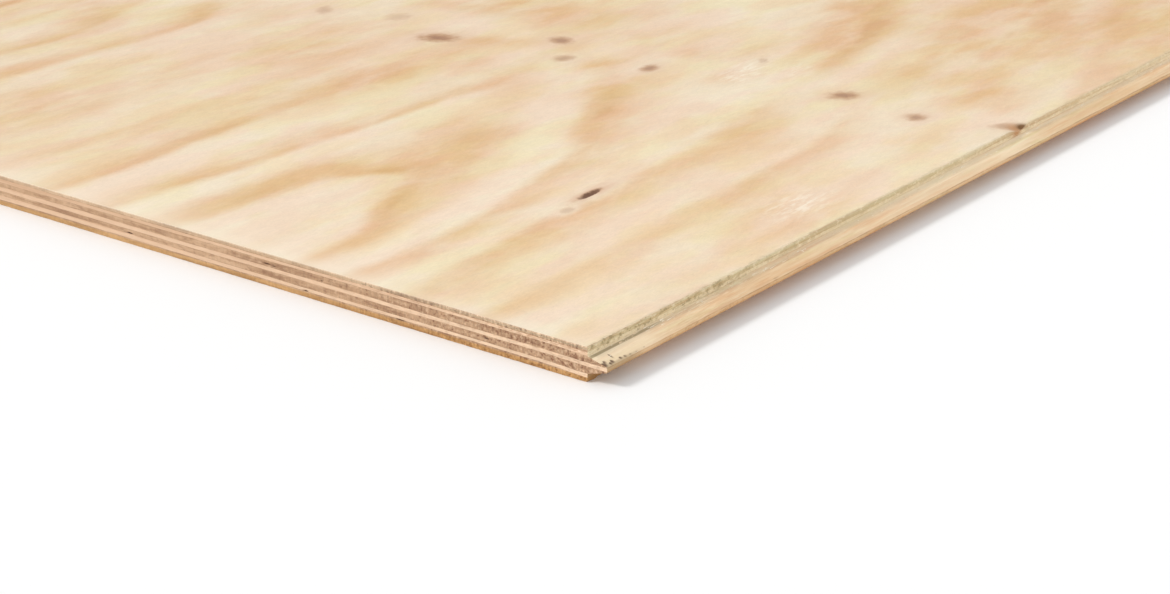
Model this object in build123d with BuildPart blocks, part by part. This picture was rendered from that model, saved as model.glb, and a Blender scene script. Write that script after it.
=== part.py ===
from build123d import *
import os

# Tongue-and-groove softwood plywood sheet, pressed from seven veneers.
# Millimetres. X runs along the sheet and along the grain of its face, Y across it, and Z
# up through the plies. The origin is on the underside, midway along and across the sheet.
# The tongue runs along the -Y edge and the groove along the +Y edge, end to end.

os.makedirs("parts", exist_ok=True)

# Sheet, over its tongue
SHEET_LENGTH = 2440.0
SHEET_WIDTH = 1220.0

# Veneers, as pressed
FACE_VENEER = 2.5
CROSSBAND_VENEER = 2.0
CORE_VENEER = 3.5

# Tongue, in the middle of the sheet's thickness
TONGUE_REACH = 11.5
TONGUE_ROOT = 9.0
TONGUE_NOSE = 2.6
NOSE_RADIUS = 0.6

# Groove, which takes the next sheet's tongue
FLANK_CLEARANCE = 0.2
NOSE_CLEARANCE = 0.8
FLOOR_RADIUS = 0.5

# Veneers from the underside up; the crossbands' grain runs across the sheet
LAY_UP = [
    ("back_veneer", FACE_VENEER),
    ("lower_crossband", CROSSBAND_VENEER),
    ("lower_core", CORE_VENEER),
    ("centre_crossband", CROSSBAND_VENEER),
    ("upper_core", CORE_VENEER),
    ("upper_crossband", CROSSBAND_VENEER),
    ("face_veneer", FACE_VENEER),
]

SHEET_THICKNESS = sum(thickness for name, thickness in LAY_UP)
MID_HEIGHT = SHEET_THICKNESS / 2
GROOVE_EDGE_Y = SHEET_WIDTH / 2
SHOULDER_Y = TONGUE_REACH - SHEET_WIDTH / 2

# The groove's flanks are parallel to the tongue's, so the clearance is even along them
FLANK_TAPER = (TONGUE_ROOT - TONGUE_NOSE) / TONGUE_REACH
GROOVE_MOUTH = TONGUE_ROOT + 2 * FLANK_CLEARANCE
GROOVE_DEPTH = TONGUE_REACH + NOSE_CLEARANCE
GROOVE_FLOOR = GROOVE_MOUTH - FLANK_TAPER * GROOVE_DEPTH


def tapered_profile(root, end, reach, corner_radius):
    """Section of a tongue or groove: a wedge along -X from the origin, rounded at its end."""
    with BuildSketch() as wedge:
        with BuildLine():
            Polyline(
                (0, root / 2),
                (-reach, end / 2),
                (-reach, -end / 2),
                (0, -root / 2),
                close=True,
            )
        make_face()
        fillet(wedge.vertices().group_by(Axis.X)[0], corner_radius)
    return wedge.sketch


tongue_profile = tapered_profile(TONGUE_ROOT, TONGUE_NOSE, TONGUE_REACH, NOSE_RADIUS)
groove_profile = tapered_profile(GROOVE_MOUTH, GROOVE_FLOOR, GROOVE_DEPTH, FLOOR_RADIUS)

# Section across the whole machined sheet, from its tongue to its groove
with BuildSketch() as machined_section:
    with Locations((SHOULDER_Y, 0)):
        Rectangle(
            GROOVE_EDGE_Y - SHOULDER_Y,
            SHEET_THICKNESS,
            align=(Align.MIN, Align.MIN),
        )
    with Locations((SHOULDER_Y, MID_HEIGHT)):
        add(tongue_profile)
    with Locations((GROOVE_EDGE_Y, MID_HEIGHT)):
        add(groove_profile, mode=Mode.SUBTRACT)

# Each veneer is the layer of that section between its two glue lines
glue_line = 0.0
for name, thickness in LAY_UP:
    with BuildPart() as veneer:
        with BuildSketch(Plane.YZ.offset(-SHEET_LENGTH / 2)):
            add(machined_section.sketch)
            with Locations((0, glue_line)):
                Rectangle(
                    SHEET_WIDTH,
                    thickness,
                    align=(Align.CENTER, Align.MIN),
                    mode=Mode.INTERSECT,
                )
        extrude(amount=SHEET_LENGTH)
    veneer.part.label = name
    export_step(veneer.part, f"parts/{name}.step")
    glue_line += thickness
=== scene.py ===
import math

import bpy
import numpy as np
from bpy.props import FloatProperty, FloatVectorProperty, IntProperty, PointerProperty
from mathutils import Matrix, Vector
from mathutils.geometry import delaunay_2d_cdt


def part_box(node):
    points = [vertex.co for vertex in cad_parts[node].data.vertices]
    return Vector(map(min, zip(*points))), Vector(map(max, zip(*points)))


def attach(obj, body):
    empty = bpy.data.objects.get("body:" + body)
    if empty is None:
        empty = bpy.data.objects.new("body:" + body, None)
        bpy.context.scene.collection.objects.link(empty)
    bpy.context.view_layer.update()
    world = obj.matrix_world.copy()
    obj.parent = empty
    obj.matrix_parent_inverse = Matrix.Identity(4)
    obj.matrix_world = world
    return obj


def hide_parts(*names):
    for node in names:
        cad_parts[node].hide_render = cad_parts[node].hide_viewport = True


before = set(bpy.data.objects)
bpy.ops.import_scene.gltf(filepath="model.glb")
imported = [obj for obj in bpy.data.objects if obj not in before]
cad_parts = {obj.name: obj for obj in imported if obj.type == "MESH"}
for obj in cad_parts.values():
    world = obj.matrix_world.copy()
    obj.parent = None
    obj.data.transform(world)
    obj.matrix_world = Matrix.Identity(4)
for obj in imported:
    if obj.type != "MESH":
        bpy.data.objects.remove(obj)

# Tongue-and-groove softwood plywood sheet: the finish of its seven veneers.
# Metres, in the sheet's own frame. Shapes are worked out in millimetres on the sheet:
# along runs from the near sawn end (-X), across from the shoulder above the tongue (-Y).

bl_info = {
    "name": "Plywood sheet finish",
    "version": (1, 0, 0),
    "blender": (4, 5, 0),
    "location": "3D View > Sidebar > Plywood",
    "description": "Builds the veneers, edges and splinters of a tongue-and-groove plywood sheet",
    "category": "Object",
}

MM = 0.001

# Veneers from the underside up
PLIES = ["back_veneer", "lower_crossband", "lower_core", "centre_crossband",
         "upper_core", "upper_crossband", "face_veneer"]
CROSSBANDS = [name for name in PLIES if name.endswith("crossband")]
CORNERS = [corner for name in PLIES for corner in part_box(name)]
SHEET_LOW = Vector([min(corner[axis] for corner in CORNERS) for axis in range(3)])
SHEET_HIGH = Vector([max(corner[axis] for corner in CORNERS) for axis in range(3)])
# Height of the underside, of each glue line and of the face, in millimetres
GLUE_HEIGHTS = [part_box(name)[0].z / MM for name in PLIES] + [SHEET_HIGH.z / MM]
THICKNESS = GLUE_HEIGHTS[-1]
# The tongue's root lands on two of the glue lines
TONGUE_ROOT_LOW = GLUE_HEIGHTS[2]
TONGUE_ROOT_HIGH = GLUE_HEIGHTS[5]

# The face's outline, which leaves the tongue out
SHEET_LENGTH = (SHEET_HIGH.x - SHEET_LOW.x) / MM
NEAR_END_X = SHEET_LOW.x / MM
SHOULDER_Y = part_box("face_veneer")[0].y / MM
FACE_WIDTH = SHEET_HIGH.y / MM - SHOULDER_Y

# How far in from an edge the section's own shape, and the wander of the glue lines, reach
TONGUE_BLEND = 15.0
GROOVE_BLEND = 25.0
WANDER_REACH = 40.0

# Spacing of the points round the sheet: each zone's end and its spacing
LONG_EDGE_ZONES = [(40.0, 1.0), (418.0, 3.0), (446.0, 1.0), (SHEET_LENGTH, 6.0)]
NEAR_END_ZONES = [(460.0, 1.0), (FACE_WIDTH, 3.0)]
FAR_END_ZONES = [(FACE_WIDTH, 3.0)]

# Rows up the edge of a thin veneer and of a core, as shares of its thickness
THIN_ROWS = [0.0, 0.1, 0.28, 0.46, 0.64, 0.8, 0.92, 1.0]
CORE_ROWS = [0.0, 0.06, 0.13, 0.22, 0.33, 0.44, 0.55, 0.66, 0.77, 0.87, 0.94, 1.0]
# The upper core makes the tongue's upper flank, so it has more
FLANK_ROWS = 23

# Material slots of every veneer
BROAD_SLOT, LONG_SLOT, END_SLOT = range(3)
SIDES = TONGUE_SIDE, FAR_END, GROOVE_SIDE, NEAR_END = range(4)
INWARD = {TONGUE_SIDE: (0, 1), FAR_END: (-1, 0), GROOVE_SIDE: (0, -1), NEAR_END: (1, 0)}

NOISE_CELLS = 256

# The tongue's flank swings between pale and tan: radians to the metre, and its start
SWING_RATE = 18.5
SWING_START = 22.3


# Seeded noise and blends in numbers

def ease(low, high, value):
    """Smooth step from 0 at low to 1 at high."""
    share = np.clip((value - low) / (high - low), 0.0, 1.0)
    return share * share * (3 - 2 * share)


def smooth_noise(first, second, seed):
    """Value noise from -1 to 1 over two coordinates, one wave to a unit."""
    table = np.random.default_rng(seed).uniform(-1.0, 1.0, (NOISE_CELLS, NOISE_CELLS))
    cell_a = np.floor(first).astype(int)
    cell_b = np.floor(second).astype(int)
    a = ease(0, 1, first - cell_a)
    b = ease(0, 1, second - cell_b)

    def corner(step_a, step_b):
        return table[(cell_a + step_a) % NOISE_CELLS, (cell_b + step_b) % NOISE_CELLS]

    low = corner(0, 0) * (1 - b) + corner(0, 1) * b
    high = corner(1, 0) * (1 - b) + corner(1, 1) * b
    return low * (1 - a) + high * a


def turned_from(along, across, centre, turn):
    """Distances from a centre, along and across a direction turned in degrees."""
    turned = math.radians(turn)
    a, b = along - centre[0], across - centre[1]
    return a * math.cos(turned) + b * math.sin(turned), b * math.cos(turned) - a * math.sin(turned)


def hill(along, across, centre, reach, height, turn=0.0):
    """Smooth round hill, with its own reach along and across, turned in degrees."""
    a, b = turned_from(along, across, centre, turn)
    return height * np.exp(-((a / reach[0]) ** 2) - (b / reach[1]) ** 2)


def with_hills(field, along, across, marks):
    """A field with a list of hills added to it."""
    for mark in marks:
        field = field + hill(along, across, *mark)
    return field


def hills_by_chance(seed, count, middles, reaches, heights):
    """Hills up and down, each measure drawn between two limits."""
    chance = np.random.default_rng(seed)
    marks = []
    for number in range(count):
        centre = tuple(chance.uniform(*limits) for limits in middles)
        reach = tuple(chance.uniform(*limits) for limits in reaches)
        marks.append((centre, reach, chance.choice([-1, 1]) * chance.uniform(*heights)))
    return marks


def patch_field(patches, along, across):
    """How strongly a list of soft patches covers each point."""
    bare = np.ones(along.shape)
    for patch in patches:
        bare = bare * (1 - hill(along, across, *patch))
    return 1 - bare


# The machined section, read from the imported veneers

def section_edge(side):
    """Heights, and distances across, of the section's tongue edge (-1) or groove edge (1)."""
    reach = {}
    for name in PLIES:
        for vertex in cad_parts[name].data.vertices:
            if vertex.co.y * side > 0:
                reach[round(vertex.co.z / MM, 4)] = vertex.co.y / MM - SHOULDER_Y
    heights = sorted(reach)
    return np.array(heights), np.array([reach[height] for height in heights])


TONGUE_HEIGHTS, TONGUE_ACROSS = section_edge(-1)
GROOVE_HEIGHTS, GROOVE_ACROSS = section_edge(1)

# Rise of each glue line at the near end, by its tongue corner and past the middle of the view
CORNER_RISE = [0.0, 0.75, 0.65, 0.45, 0.6, 0.6, 0.35, 0.0]
FURTHER_RISE = [0.0, 0.8, 1.45, 0.55, 1.15, 0.4, 0.35, 0.0]
END_WANDER = 0.17
LONG_EDGE_WANDER = 0.06
# How far across the rise turns from the corner's to the further one
RISE_TURNS = (120.0, 380.0)
GLUE_SEED = 11
FINE_GLUE_SEED = 31

# Where the knot on the tongue's edge has broken out, and the scoop it left in the face
BROKEN_HOLE = (435.0, 1.2)
SCOOP_DEPTH = 2.2
SCOOP_HILLS = [
    ((429, -1), (7, 6), SCOOP_DEPTH),
    (BROKEN_HOLE, (2.8, 2.6), 1.0),
]


def scoop(along, across):
    """Depth of the scoop at points of the face."""
    return np.clip(with_hills(0.0, along, across, SCOOP_HILLS), 0.0, SCOOP_DEPTH)


def glue_height(line, along, across):
    """Height of a glue line at points of the sheet: it wanders a little near the edges."""
    nominal = GLUE_HEIGHTS[line]
    if line == 0:
        return np.full(np.shape(along), nominal)
    if line == len(PLIES):
        return nominal - scoop(along, across)
    from_ends = np.minimum(along, SHEET_LENGTH - along)
    from_sides = np.minimum(across, FACE_WIDTH - across)
    near_edge = 1 - ease(0.0, WANDER_REACH, np.minimum(from_ends, from_sides))
    at_end = 1 - ease(0.0, WANDER_REACH, from_ends)
    wander = smooth_noise(along / 110, across / 95 + 7.3 * line, GLUE_SEED + line)
    wander = wander + 0.5 * smooth_noise(along / 37, across / 31 + 3.1 * line, FINE_GLUE_SEED + line)
    wander = wander * (LONG_EDGE_WANDER + (END_WANDER - LONG_EDGE_WANDER) * at_end)
    further = ease(*RISE_TURNS, across)
    rise = CORNER_RISE[line] * (1 - further) + FURTHER_RISE[line] * further
    wander = wander + rise * ease(0.0, 30.0, across) * (1 - ease(0.0, WANDER_REACH, along))
    # The two lines that the tongue's root lands on run true along the milled edges
    if nominal in (TONGUE_ROOT_LOW, TONGUE_ROOT_HIGH):
        wander = wander * ease(0.0, TONGUE_BLEND, from_sides)
    return nominal + wander * near_edge


# Points round the sheet

def graded(zones):
    """Distances from 0 to the last zone's end, each zone with its own spacing."""
    points = [np.zeros(1)]
    start = 0.0
    for end, spacing in zones:
        count = max(1, round((end - start) / spacing))
        points.append(np.linspace(start, end, count + 1)[1:])
        start = end
    return np.concatenate(points)


def perimeter():
    """Stations anticlockwise from the near end's tongue corner: along, across, side and inward."""
    tongue = graded(LONG_EDGE_ZONES)[:-1]
    far = graded(FAR_END_ZONES)[:-1]
    groove = graded(LONG_EDGE_ZONES)[:0:-1]
    near = graded(NEAR_END_ZONES)[:0:-1]
    along = np.concatenate([tongue, np.full(len(far), SHEET_LENGTH), groove, np.zeros(len(near))])
    across = np.concatenate([np.zeros(len(tongue)), far, np.full(len(groove), FACE_WIDTH), near])
    counts = [len(tongue), len(far), len(groove), len(near)]
    side = np.repeat(SIDES, counts)
    inward = np.array([INWARD[s] for s in side], float)
    for corner in np.cumsum([0] + counts[:-1]):
        inward[corner] += INWARD[side[corner - 1]]
    return along, across, side, inward


# What the saw, the mill and handling did to the edges

EDGE_SEED = 100

# Torn hollows in the near end: across and height, half length and half height, depth
END_HOLLOWS = [
    ((208.5, 12.0), (2.4, 0.32), 1.3),
    ((203.5, 11.7), (1.1, 0.25), 1.0),
    ((181.5, 3.3), (1.6, 0.40), 1.2),
    ((170.0, 11.4), (1.0, 0.40), 1.0),
    ((312.0, 6.1), (2.6, 0.45), 1.2),
    ((62.0, 6.8), (2.2, 0.50), 1.1),
    ((117.0, 3.0), (3.6, 0.35), 1.3),
    ((640.0, 11.6), (4.0, 0.60), 2.0),
    ((893.0, 6.4), (3.0, 0.50), 1.6),
]

# Chips along the tongue: along and height, half length and half height, depth
TONGUE_CHIPS = [
    ((0.9, 10.8), (1.9, 0.50), 1.4),
    ((3.4, 11.3), (0.8, 0.35), 1.1),
    ((5.0, 10.6), (0.9, 0.30), 1.2),
    ((7.2, 10.8), (1.0, 0.42), 1.3),
    ((10.3, 11.7), (0.65, 0.65), 1.3),
    ((13.2, 10.7), (1.0, 0.30), 1.2),
    ((16.4, 10.6), (0.8, 0.34), 1.1),
    ((20.0, 10.5), (1.3, 0.16), 0.8),
    ((24.5, 10.4), (1.0, 0.20), 0.8),
    ((31.0, 10.5), (1.2, 0.18), 0.7),
    ((146.0, 10.5), (5.0, 0.25), 0.6),
    ((434.6, 17.2), (3.2, 1.2), 1.5),
    ((905.0, 10.6), (7.0, 0.5), 0.9),
    ((1630.0, 10.4), (6.0, 0.5), 0.9),
]


# Wear of the arrises: how deep, and how far it reaches from the face and the underside
SAWN_WEAR = 0.12
MILLED_WEAR = 0.34
WEAR_REACH = 0.6
TONGUE_SIDE_WEAR = 0.26
TONGUE_SIDE_REACH = 1.1
# The nick that the mill leaves where the shoulder meets the tongue, deepest by the near end
NICK_DEPTH = 0.12
NICK_HALF_HEIGHT = 0.3
NICK_FADES = (30, 60)


def edge_relief(name, side, along, across, height, seed):
    """Millimetres that each point of an edge lies behind the clean cut, and the torn share of it."""
    at_end = np.isin(side, (FAR_END, NEAR_END))
    at_tongue = side == TONGUE_SIDE
    run = np.where(at_end, across, along)

    def waves(length, rise, shift):
        """Noise of waves so many millimetres long along the edge and up it."""
        return smooth_noise(run / length, height / rise, seed + shift)

    sawn = 0.12 + 0.08 * waves(1.7, 1.9, 0) + 0.07 * waves(6.0, 2.6, 1)
    if name in CROSSBANDS:
        torn = np.clip(waves(8.0, 1.3, 3) - 0.55, 0.0, None)
        end_cut = 0.10 + 0.06 * waves(14.0, 0.9, 2) + 0.5 * torn
        nick = np.exp(-((height - TONGUE_ROOT_HIGH) / NICK_HALF_HEIGHT) ** 2) * at_tongue
        nick = nick * (1 - 0.8 * ease(*NICK_FADES, along))
        long_cut = 0.6 * sawn + NICK_DEPTH * nick
    else:
        end_cut = sawn
        long_cut = 0.05 + 0.04 * waves(22.0, 1.1, 4)
    relief = np.where(at_end, end_cut, long_cut)
    pits = np.where(side == NEAR_END, with_hills(0.0, across, height, END_HOLLOWS), 0.0)
    pits = pits + np.where(at_tongue, with_hills(0.0, along, height, TONGUE_CHIPS), 0.0)
    from_skin = np.minimum(THICKNESS - height, height)
    worn = np.where(at_end, SAWN_WEAR, MILLED_WEAR) * (1 - ease(0.0, WEAR_REACH, from_skin))
    worn = worn + TONGUE_SIDE_WEAR * (1 - ease(0.0, TONGUE_SIDE_REACH, from_skin)) * at_tongue
    worn = worn * (1 + 0.7 * waves(2.1, 1.0, 5))
    return relief + worn + pits, pits


# The figure of the face

# Hills that bend the rings of the face: centre, reach, height
RING_HILLS = [
    ((108, 214), (58, 25), -0.52),
    ((178, 254), (55, 30), -0.9),
    ((150, 246), (26, 22), -0.2),
    ((50, 272), (90, 13), -0.24),
    ((0, 150), (45, 26), -0.12),
    ((130, 318), (160, 14), -0.08),
    ((120, 380), (170, 14), -0.07),
    ((255, 208), (55, 28), -0.22),
    ((300, 262), (60, 34), -0.3),
    ((322, 228), (48, 24), -0.14),
    ((215, 325), (52, 20), -0.2),
    ((180, 76), (140, 16), -0.14),
    ((330, 325), (75, 50), -0.4),
    ((400, 640), (110, 80), 1.0),
    ((530, 190), (70, 60), 0.15),
    ((740, 40), (120, 50), -0.4),
    ((290, 90), (80, 30), 0.2),
    ((20, 195), (50, 25), 0.06),
    ((130, 326), (140, 22), -0.2),
    ((300, 372), (70, 26), 0.35),
    ((40, 375), (70, 20), -0.14),
    ((130, 122), (110, 16), -0.22),
    ((190, 172), (60, 14), -0.18),
    ((285, 580), (50, 18), -0.28),
    ((215, 622), (55, 16), -0.22),
]
# Where the rings are faint: centre, reach, strength and turn
CALM_PATCHES = [
    ((600, 80), (130, 75), 0.8, 15),
    ((700, 150), (90, 60), 0.7),
    ((220, 470), (230, 62), 0.55),
    ((490, 370), (60, 70), 0.9),
    ((290, 385), (70, 22), 0.8),
    ((60, 12), (90, 14), 0.7),
    ((280, 18), (60, 24), 0.8),
    ((120, 60), (150, 55), 0.25),
    ((255, 272), (36, 16), 0.6, 10),
    ((320, 318), (50, 10), 0.5),
    ((520, 122), (60, 14), 0.6, 10),
]
# The arches start from one ring: where it lies across on the rising and on the falling side
START_RING = 2
RISING_START = 118
FALLING_START = 382
# Width of a ring outside the rising side, inside it, and on the falling side
RISING_WIDTH = 38
INNER_WIDTH = 45
FALLING_WIDTH = 47.6
# The sweep of the rings along the sheet, and how far along it levels out
SWEEP_CURVE = 0.00028
SWEEP_END = 760
SWEEP_EASE = 300
# The rings widen along the sheet, outside the arch as far as a limit, and inside it
WIDENING = 1.33e-6
WIDENING_END = 900
INNER_WIDENING = 0.025
RING_SOFTNESS = 0.2
# The figure is given as far as this along and across, and goes on by chance past it
SET_LENGTH = 720
SET_WIDTH = 690
SET_BLEND = 260
OUTER_HILLS = 34
OUTER_SEED = 5
OUTER_SHOW_SEED = 41
# Past a whorl the wood is pale and its rings are faint: how far past, its slant and its reach
WHORL_SHIFT = 46
WHORL_SLANT = 0.09
WHORL_REACH = 52

# How strongly the late wood before each ring number shows, on either side of the arches
RINGS = [-6, -5, -4, -3, -2, -1, 0, 1, 2, 3, 4, 5]
RISING_SHOW = [0.5, 0.5, 0.5, 0.5, 0.55, 0.5, 0.5, 0.6, 0.75, 0.85, 0.95, 0.0]
FALLING_SHOW = [0.6, 0.75, 0.4, 0.62, 0.7, 0.12, 0.15, 0.4, 0.9, 0.8, 0.9, 0.0]
# The late wood lies a little further in on the falling side
FALLING_SHIFT = 0.27


def figure(along, across):
    """Ring number at each point of the face, which the late wood follows, and how strongly it shows."""
    level = 1 - np.exp(-np.maximum(along - SWEEP_END, 0) / SWEEP_EASE)
    sweep = np.minimum(along, SWEEP_END) + SWEEP_EASE * level
    past = across - (RISING_START + SWEEP_CURVE * sweep ** 2)
    outside = RISING_WIDTH + WIDENING * np.minimum(along, WIDENING_END) ** 3
    inside = INNER_WIDTH + INNER_WIDENING * sweep
    rising = START_RING + np.where(past > 0, past / outside, past / inside)
    falling = START_RING - (across - FALLING_START) / FALLING_WIDTH
    ring = (rising + falling) / 2 - np.sqrt(((rising - falling) / 2) ** 2 + RING_SOFTNESS ** 2)
    ring = with_hills(ring, along, across, RING_HILLS)
    falls = ease(-0.7, 0.7, rising - falling)
    show = np.interp(ring, RINGS, RISING_SHOW) * (1 - falls)
    show = show + np.interp(ring, RINGS, FALLING_SHOW) * falls
    ring = ring - FALLING_SHIFT * falls
    outer = ease(0, SET_BLEND, np.maximum(along - SET_LENGTH, across - SET_WIDTH))
    marks = hills_by_chance(OUTER_SEED, OUTER_HILLS, ((300, 2440), (-40, 1240)),
                            ((160, 420), (36, 90)), (0.8, 2.1))
    wave = with_hills(0.9 * np.sin(along / 130) * np.cos(across / 210), along, across, marks)
    outer_show = 0.6 + 0.4 * smooth_noise(along / 260, across / 110, OUTER_SHOW_SEED)
    show = show * (1 - outer) + outer_show * outer
    show = show * (1 - patch_field(CALM_PATCHES, along, across))
    for middle, first in WHORLS:
        past = along - middle - WHORL_SHIFT + WHORL_SLANT * across
        show = show * (1 - 0.8 * np.exp(-(past / WHORL_REACH) ** 2))
    return ring + outer * wave, show


# Knots of the face: along, across, half length, half width, turn in degrees, darkness
KNOTS = [
    (426.5, 8, 9, 5.5, -42, 0.55),
    (410, 60, 7.5, 6.5, 0, 0.75),
    (423, 119, 10.5, 8, -35, 0.85),
    (459, 203, 6, 3, 30, 0.35),
    (399, 252, 9, 5.5, 5, 0.8),
    (384, 311, 8.5, 6.5, -10, 0.6),
    (418, 339, 7.5, 9.5, -20, 0.8),
    (373.5, 410, 10, 14, 25, 0.95),
    (398, 468, 10, 9, 0, 0.3),
    (380.5, 522, 11, 5.5, 35, 0.4),
    (176, 132, 12.5, 2.8, 4, 1.6),
    (147, 125, 5.5, 3.2, 10, 0.34),
]
# Whorls of knots past those: place along, and where the first knot is across
WHORLS = [(392, 590), (950, 25), (1455, 60), (2010, 15)]
KNOT_SEED = 8
# What is drawn for each knot of a whorl, in the order of the draws, for the face and for the back
FACE_WHORL = {"size": (5.5, 12.5), "along": (-26, 26), "slant": (-35, 35), "width": (0.65, 0.95),
              "dark": (0.3, 0.95), "step": (48, 92)}
BACK_WHORL = {"size": (6, 17), "along": (-40, 40), "width": (0.6, 0.95), "slant": (-40, 40),
              "dark": (0.4, 1.0), "step": (55, 150)}
# The back's own whorls, and its seeds
BACK_WHORLS = [250, 760, 1240, 1790, 2270]
BACK_KNOT_SEED = 22
BACK_RING_SEED = 21
BACK_SHOW_SEED = 42

# Patches of warm colour: centre, reach, strength and, where one is turned, its turn in degrees
WARM_PATCHES = [
    ((230, 480), (300, 105), 0.29),
    ((60, 277), (90, 11), 0.25),
    ((322, 230), (48, 13), 0.50, 26),
    ((660, 95), (150, 110), 0.66),
    ((715, 45), (100, 36), 0.66, 14),
    ((680, 8), (60, 18), 0.60, 10),
    ((700, 130), (60, 40), 0.70, 25),
    ((645, 138), (48, 15), 0.75, 16),
    ((545, 192), (72, 31), 0.85, 22),
    ((615, 228), (46, 26), 0.92, 30),
    ((535, 96), (56, 24), 0.50, 15),
    ((475, 52), (36, 28), 0.62),
    ((482, 120), (30, 18), 0.25),
    ((465, 226), (34, 18), 0.55),
    ((408, 198), (16, 10), 0.70),
    ((445, 254), (14, 13), 0.50),
    ((458, 30), (20, 18), 0.35),
    ((412, 324), (20, 13), 0.45),
    ((520, 345), (32, 14), 0.50, 10),
    ((445, 452), (16, 24), 0.55),
    ((476, 415), (38, 56), 0.95, -20),
    ((474, 352), (30, 18), 0.70, 15),
    ((388, 372), (13, 30), 0.90, 30),
    ((384, 284), (24, 15), 0.70),
    ((312, 292), (30, 18), 0.70),
    ((285, 374), (82, 27), 0.78, -8),
    ((330, 348), (28, 20), 0.50, -30),
    ((290, 462), (62, 36), 0.62),
    ((105, 500), (52, 40), 0.52),
    ((150, 412), (130, 20), 0.32),
    ((185, 250), (52, 17), 0.80, -3),
    ((165, 266), (40, 13), 0.50),
    ((105, 220), (40, 14), 0.72, 36),
    ((250, 630), (46, 24), 0.50, 14),
    ((315, 580), (36, 14), 0.50, 20),
    ((160, 590), (30, 20), 0.35),
    ((240, 613), (50, 9), 0.35, 5),
    ((288, 660), (28, 13), 0.60, 20),
    ((240, 704), (34, 24), 0.75),
    ((196, 34), (48, 14), 0.42, 5),
    ((240, 66), (60, 22), 0.34, 6),
    ((340, 130), (60, 44), 0.22),
    ((50, 60), (70, 38), 0.18),
    ((255, 406), (55, 10), 0.36),
    ((240, 368), (14, 10), 0.45),
    ((350, 555), (26, 40), 0.40, -20),
    ((200, 110), (160, 26), 0.14),
]
# Patches that stay pale
PALE_PATCHES = [
    ((50, 232), (80, 30), 1.0, 8),
    ((120, 170), (140, 14), 0.9, 6),
    ((210, 208), (56, 18), 0.7, 14),
    ((110, 308), (190, 9), 0.9, -2),
    ((90, 354), (190, 12), 0.9, -4),
    ((30, 22), (66, 44), 0.9),
    ((395, 172), (50, 26), 0.6),
    ((432, 34), (22, 30), 0.6),
    ((430, 142), (30, 16), 0.4),
    ((505, 152), (60, 12), 0.6, 10),
    ((418, 415), (22, 50), 0.6),
    ((160, 440), (110, 18), 0.7),
    ((560, 282), (60, 30), 0.3),
    ((215, 560), (70, 12), 0.4),
    ((300, 535), (60, 26), 0.4),
]
# Patches of torn grain
TORN_PATCHES = [
    ((232, 30), (26, 13), 1.0),
    ((428, 198), (30, 12), 1.0, 10),
    ((452, 172), (16, 8), 0.8, 20),
    ((1030, 640), (30, 14), 0.8),
    ((1760, 300), (34, 12), 0.7),
]


def whorl(chance, middle, across, limit, draws):
    """Knots by chance at one place along the sheet, from a first one across it to a limit."""
    knots = []
    while across < limit:
        drawn = {name: chance.uniform(*limits) for name, limits in draws.items()}
        knots.append((middle + drawn["along"], across, drawn["size"], drawn["size"] * drawn["width"],
                      drawn["slant"], drawn["dark"]))
        across += drawn["step"]
    return knots


def face_knots():
    """The knots listed, and the rest of each whorl by chance."""
    chance = np.random.default_rng(KNOT_SEED)
    knots = list(KNOTS)
    for middle, first in WHORLS:
        knots += whorl(chance, middle, first, FACE_WIDTH - 12, FACE_WHORL)
    return knots


def back_knots():
    """Knots of the back, in whorls of their own."""
    chance = np.random.default_rng(BACK_KNOT_SEED)
    knots = []
    for middle in BACK_WHORLS:
        knots += whorl(chance, middle, chance.uniform(10, 70), FACE_WIDTH - 15, BACK_WHORL)
    return knots


def back_rings(along, across):
    """Ring number at each point of the back, by chance."""
    marks = hills_by_chance(BACK_RING_SEED, 30, ((0, 2440), (0, 1210)), ((180, 460), (40, 100)),
                            (0.7, 2.0))
    ring = across / 70 + 0.8 * np.sin(along / 170) * np.cos(across / 190)
    return with_hills(ring, along, across, marks)


# Farther than this from every knot, in half lengths of a knot, none counts
KNOT_FAR = 4.0


def knot_fields(knots, along, across):
    """Distance from the nearest knot's heart, 1 at its rim, and that knot's darkness."""
    nearest = np.full(along.shape, KNOT_FAR)
    dark = np.zeros(along.shape)
    for middle_along, middle_across, half_length, half_width, turn, darkness in knots:
        a, b = turned_from(along, across, (middle_along, middle_across), turn)
        distance = np.hypot(a / half_length, b / half_width)
        closer = distance < nearest
        nearest = np.where(closer, distance, nearest)
        dark = np.where(closer, darkness, dark)
    return nearest, dark


def edge_stain(placed):
    """Stain that the broken knot left down the tongue's edge."""
    along, across, height = placed[:, 0], placed[:, 1], placed[:, 2]
    return hill(along, height, (426.0, 15.4), (5.5, 2.6), 1.0) * (across < 0.9)


# Rings of points round a knot, as shares of its size, and the points in each
KNOT_RINGS = [0.25, 0.5, 0.7, 0.85, 1.0, 1.15, 1.4, 1.8, 2.4]
KNOT_SPOKES = 18
# The other points: how far each strays from its grid, and how near the edge and each other they come
SKIN_SEED = 3
SKIN_STRAY = 0.22
SKIN_MARGIN = 1.2
LEAST_SPACING = 0.5
# Points of a face that is glued to the next veneer
GLUED_MARGIN = 30
GLUED_SPACING = 150.0


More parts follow.
